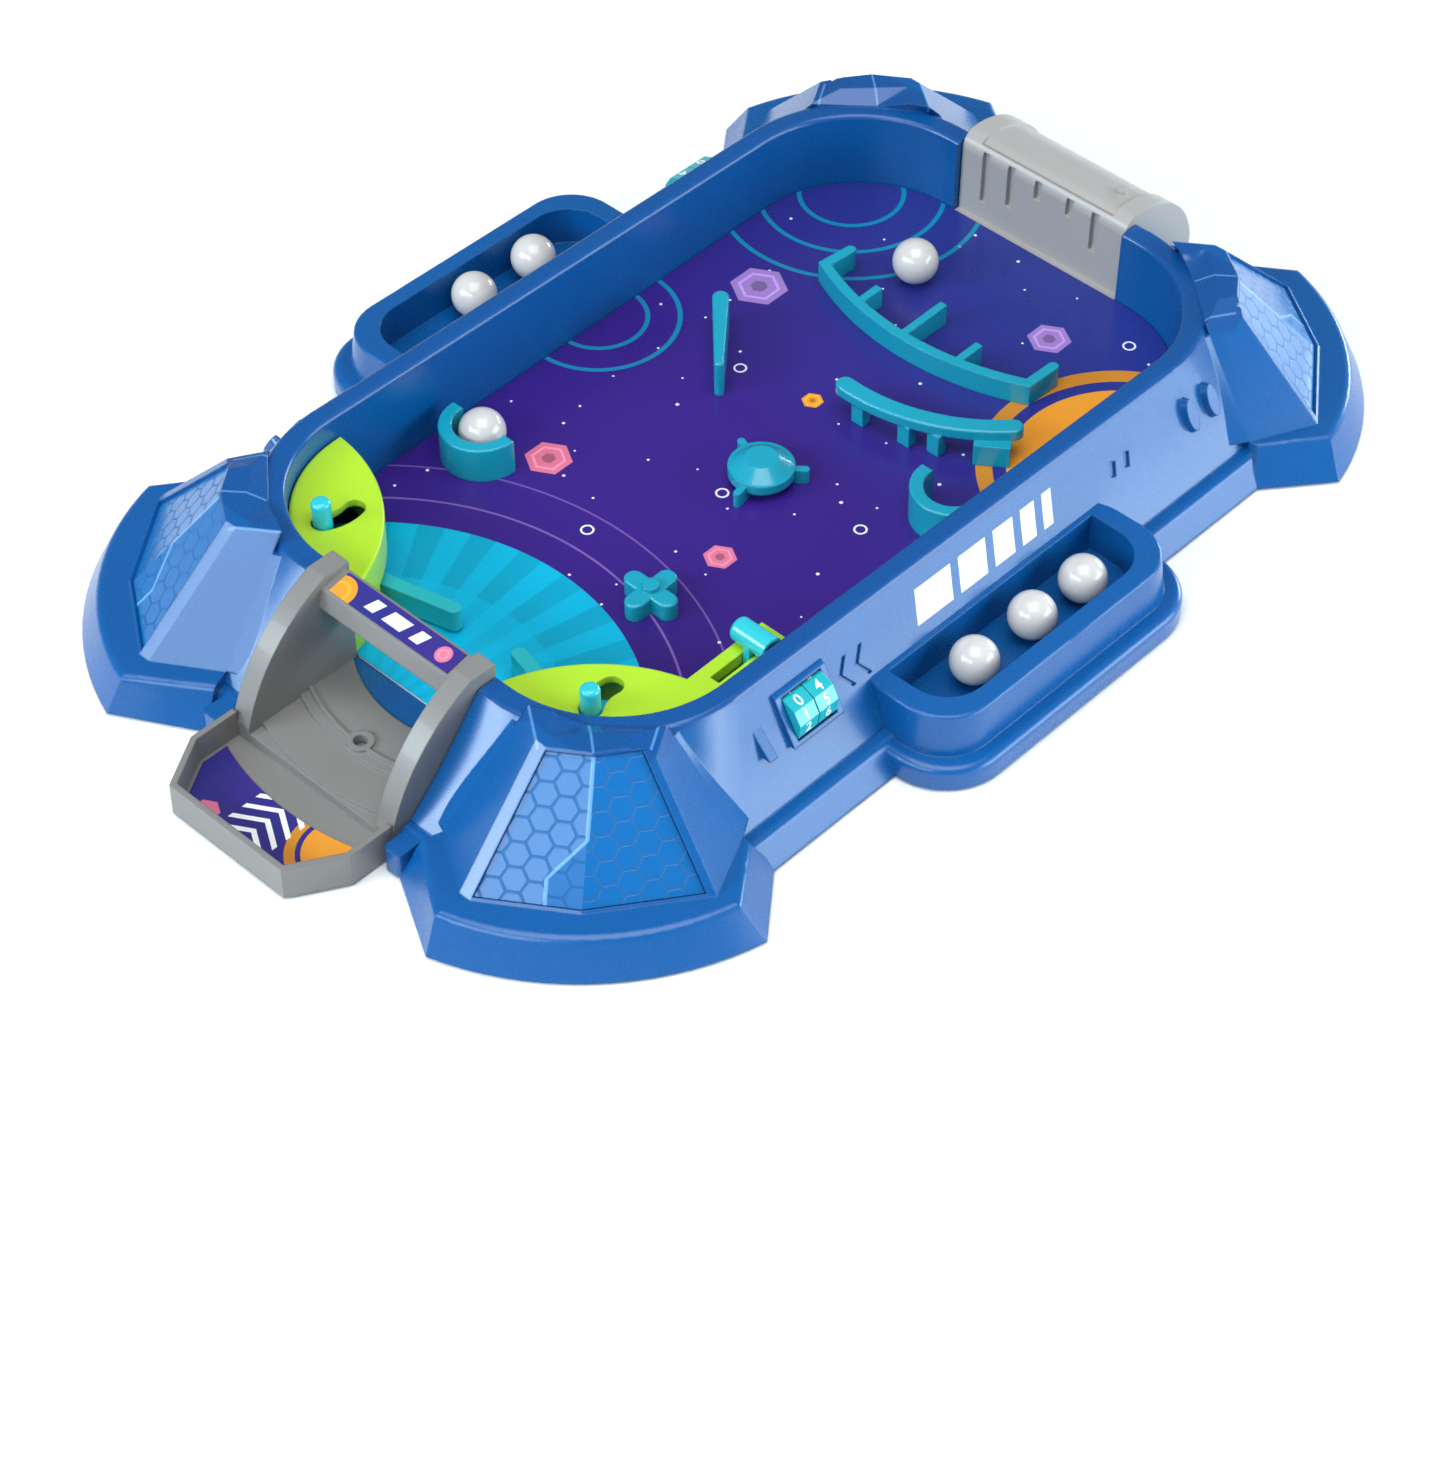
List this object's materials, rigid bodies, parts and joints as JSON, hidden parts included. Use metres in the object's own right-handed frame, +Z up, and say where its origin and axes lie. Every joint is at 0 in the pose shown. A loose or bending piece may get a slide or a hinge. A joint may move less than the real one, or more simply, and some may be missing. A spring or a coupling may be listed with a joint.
{
  "type": "tabletop pinball game",
  "caption": "Tabletop pinball game: sloping playfield in a flared cabinet with corner feet, knob-worked flippers, spring launcher, score wheels, ball trays and exit chute",
  "frame": {"origin": "on the table top, under the middle of the whole footprint", "axes": "+X to the player's right, +Y away from the player to the far end, +Z up"},
  "size_m": [0.2604, 0.395, 0.0445],
  "materials": {
    "cabinet_blue": "glossy moulded",
    "base_blue": "satin moulded",
    "screw_steel": "plated",
    "pad_rubber": "matt",
    "panel_blue": "glossy, honeycomb pattern",
    "board_plastic": "satin",
    "printed_sheet": "laminated print",
    "teal_plastic": "glossy moulded",
    "green_plastic": "glossy moulded",
    "spring_steel": "drawn wire",
    "wheel_teal": "glossy with printed digits",
    "chute_grey": "satin moulded",
    "label_paper": "laminated print",
    "ball_white": "glossy"
  },
  "bodies": {
    "cabinet": {"upper_shell": "cabinet_blue", "base_cover": "base_blue", "cover_screws": "screw_steel", "rubber_pads": "pad_rubber", "corner_panel_near_left": "panel_blue", "corner_panel_near_right": "panel_blue", "corner_panel_far_left": "panel_blue", "corner_panel_far_right": "panel_blue", "playfield_board": "board_plastic", "playfield_sheet": "printed_sheet", "left_cup": "teal_plastic", "right_cup": "teal_plastic", "upper_arc_guide": "teal_plastic", "lower_arc_guide": "teal_plastic", "wedge_post": "teal_plastic", "saucer_bumper": "teal_plastic", "star_bumper": "teal_plastic", "left_flipper_cover": "green_plastic", "right_flipper_cover": "green_plastic", "flipper_pivot_pins": "screw_steel", "left_flipper_spring": "spring_steel", "right_flipper_spring": "spring_steel", "launcher_spring": "spring_steel", "right_counter_axle": "screw_steel", "left_counter_axle": "screw_steel", "exit_chute": "chute_grey", "chute_screw": "screw_steel", "chute_bar_label": "label_paper", "chute_tray_label": "label_paper", "far_end_panel": "chute_grey"},
    "left_flipper": {"left_flipper": "teal_plastic"},
    "right_flipper": {"right_flipper": "teal_plastic"},
    "launcher": {"launcher": "teal_plastic"},
    "right_score_wheel_near": {"right_score_wheel_near": "wheel_teal"},
    "right_score_wheel_far": {"right_score_wheel_far": "wheel_teal"},
    "left_score_wheel_near": {"left_score_wheel_near": "wheel_teal"},
    "left_score_wheel_far": {"left_score_wheel_far": "wheel_teal"},
    "ball_on_field": {"ball_on_field": "ball_white"},
    "ball_in_cup": {"ball_in_cup": "ball_white"},
    "right_tray_ball_1": {"right_tray_ball_1": "ball_white"},
    "right_tray_ball_2": {"right_tray_ball_2": "ball_white"},
    "right_tray_ball_3": {"right_tray_ball_3": "ball_white"},
    "left_tray_ball_1": {"left_tray_ball_1": "ball_white"},
    "left_tray_ball_2": {"left_tray_ball_2": "ball_white"}
  },
  "joints": [
    {"name": "left_flipper_swing", "type": "hinge", "parent": "cabinet", "child": "left_flipper", "pos_m": [-0.0635, -0.10408, 0.01341], "axis": [0, -0.0236, 0.9997], "range_deg": [0, 48], "stiffness_Nm_per_rad": 0.02, "springref_deg": -17.19, "deforming": ["left_flipper_spring"]},
    {"name": "right_flipper_swing", "type": "hinge", "parent": "cabinet", "child": "right_flipper", "pos_m": [0.0635, -0.10408, 0.01341], "axis": [0, 0.0236, -0.9997], "range_deg": [0, 48], "stiffness_Nm_per_rad": 0.02, "springref_deg": -17.19, "deforming": ["right_flipper_spring"]},
    {"name": "launcher_pull", "type": "slide", "parent": "cabinet", "child": "launcher", "axis": [0, -0.9997, -0.0236], "range_m": [0, 0.012], "stiffness_N_per_m": 80, "springref_m": -0.004, "deforming": ["launcher_spring"]},
    {"name": "right_score_wheel_near_turn", "type": "hinge", "parent": "cabinet", "child": "right_score_wheel_near", "pos_m": [0.0884, -0.067, 0.0256], "axis": [0, 1, 0], "continuous": true},
    {"name": "right_score_wheel_far_turn", "type": "hinge", "parent": "cabinet", "child": "right_score_wheel_far", "pos_m": [0.0884, -0.067, 0.0256], "axis": [0, 1, 0], "continuous": true},
    {"name": "left_score_wheel_near_turn", "type": "hinge", "parent": "cabinet", "child": "left_score_wheel_near", "pos_m": [-0.0884, 0.079, 0.0256], "axis": [0, 1, 0], "continuous": true},
    {"name": "left_score_wheel_far_turn", "type": "hinge", "parent": "cabinet", "child": "left_score_wheel_far", "pos_m": [-0.0884, 0.079, 0.0256], "axis": [0, 1, 0], "continuous": true},
    {"name": "ball_on_field_lift", "type": "slide", "parent": "cabinet", "child": "ball_on_field", "axis": [0, 0, 1], "range_m": [0, 0.08]},
    {"name": "ball_in_cup_lift", "type": "slide", "parent": "cabinet", "child": "ball_in_cup", "axis": [0, 0, 1], "range_m": [0, 0.08]},
    {"name": "right_tray_ball_1_lift", "type": "slide", "parent": "cabinet", "child": "right_tray_ball_1", "axis": [0, 0, 1], "range_m": [0, 0.08]},
    {"name": "right_tray_ball_2_lift", "type": "slide", "parent": "cabinet", "child": "right_tray_ball_2", "axis": [0, 0, 1], "range_m": [0, 0.08]},
    {"name": "right_tray_ball_3_lift", "type": "slide", "parent": "cabinet", "child": "right_tray_ball_3", "axis": [0, 0, 1], "range_m": [0, 0.08]},
    {"name": "left_tray_ball_1_lift", "type": "slide", "parent": "cabinet", "child": "left_tray_ball_1", "axis": [0, 0, 1], "range_m": [0, 0.08]},
    {"name": "left_tray_ball_2_lift", "type": "slide", "parent": "cabinet", "child": "left_tray_ball_2", "axis": [0, 0, 1], "range_m": [0, 0.08]}
  ]
}
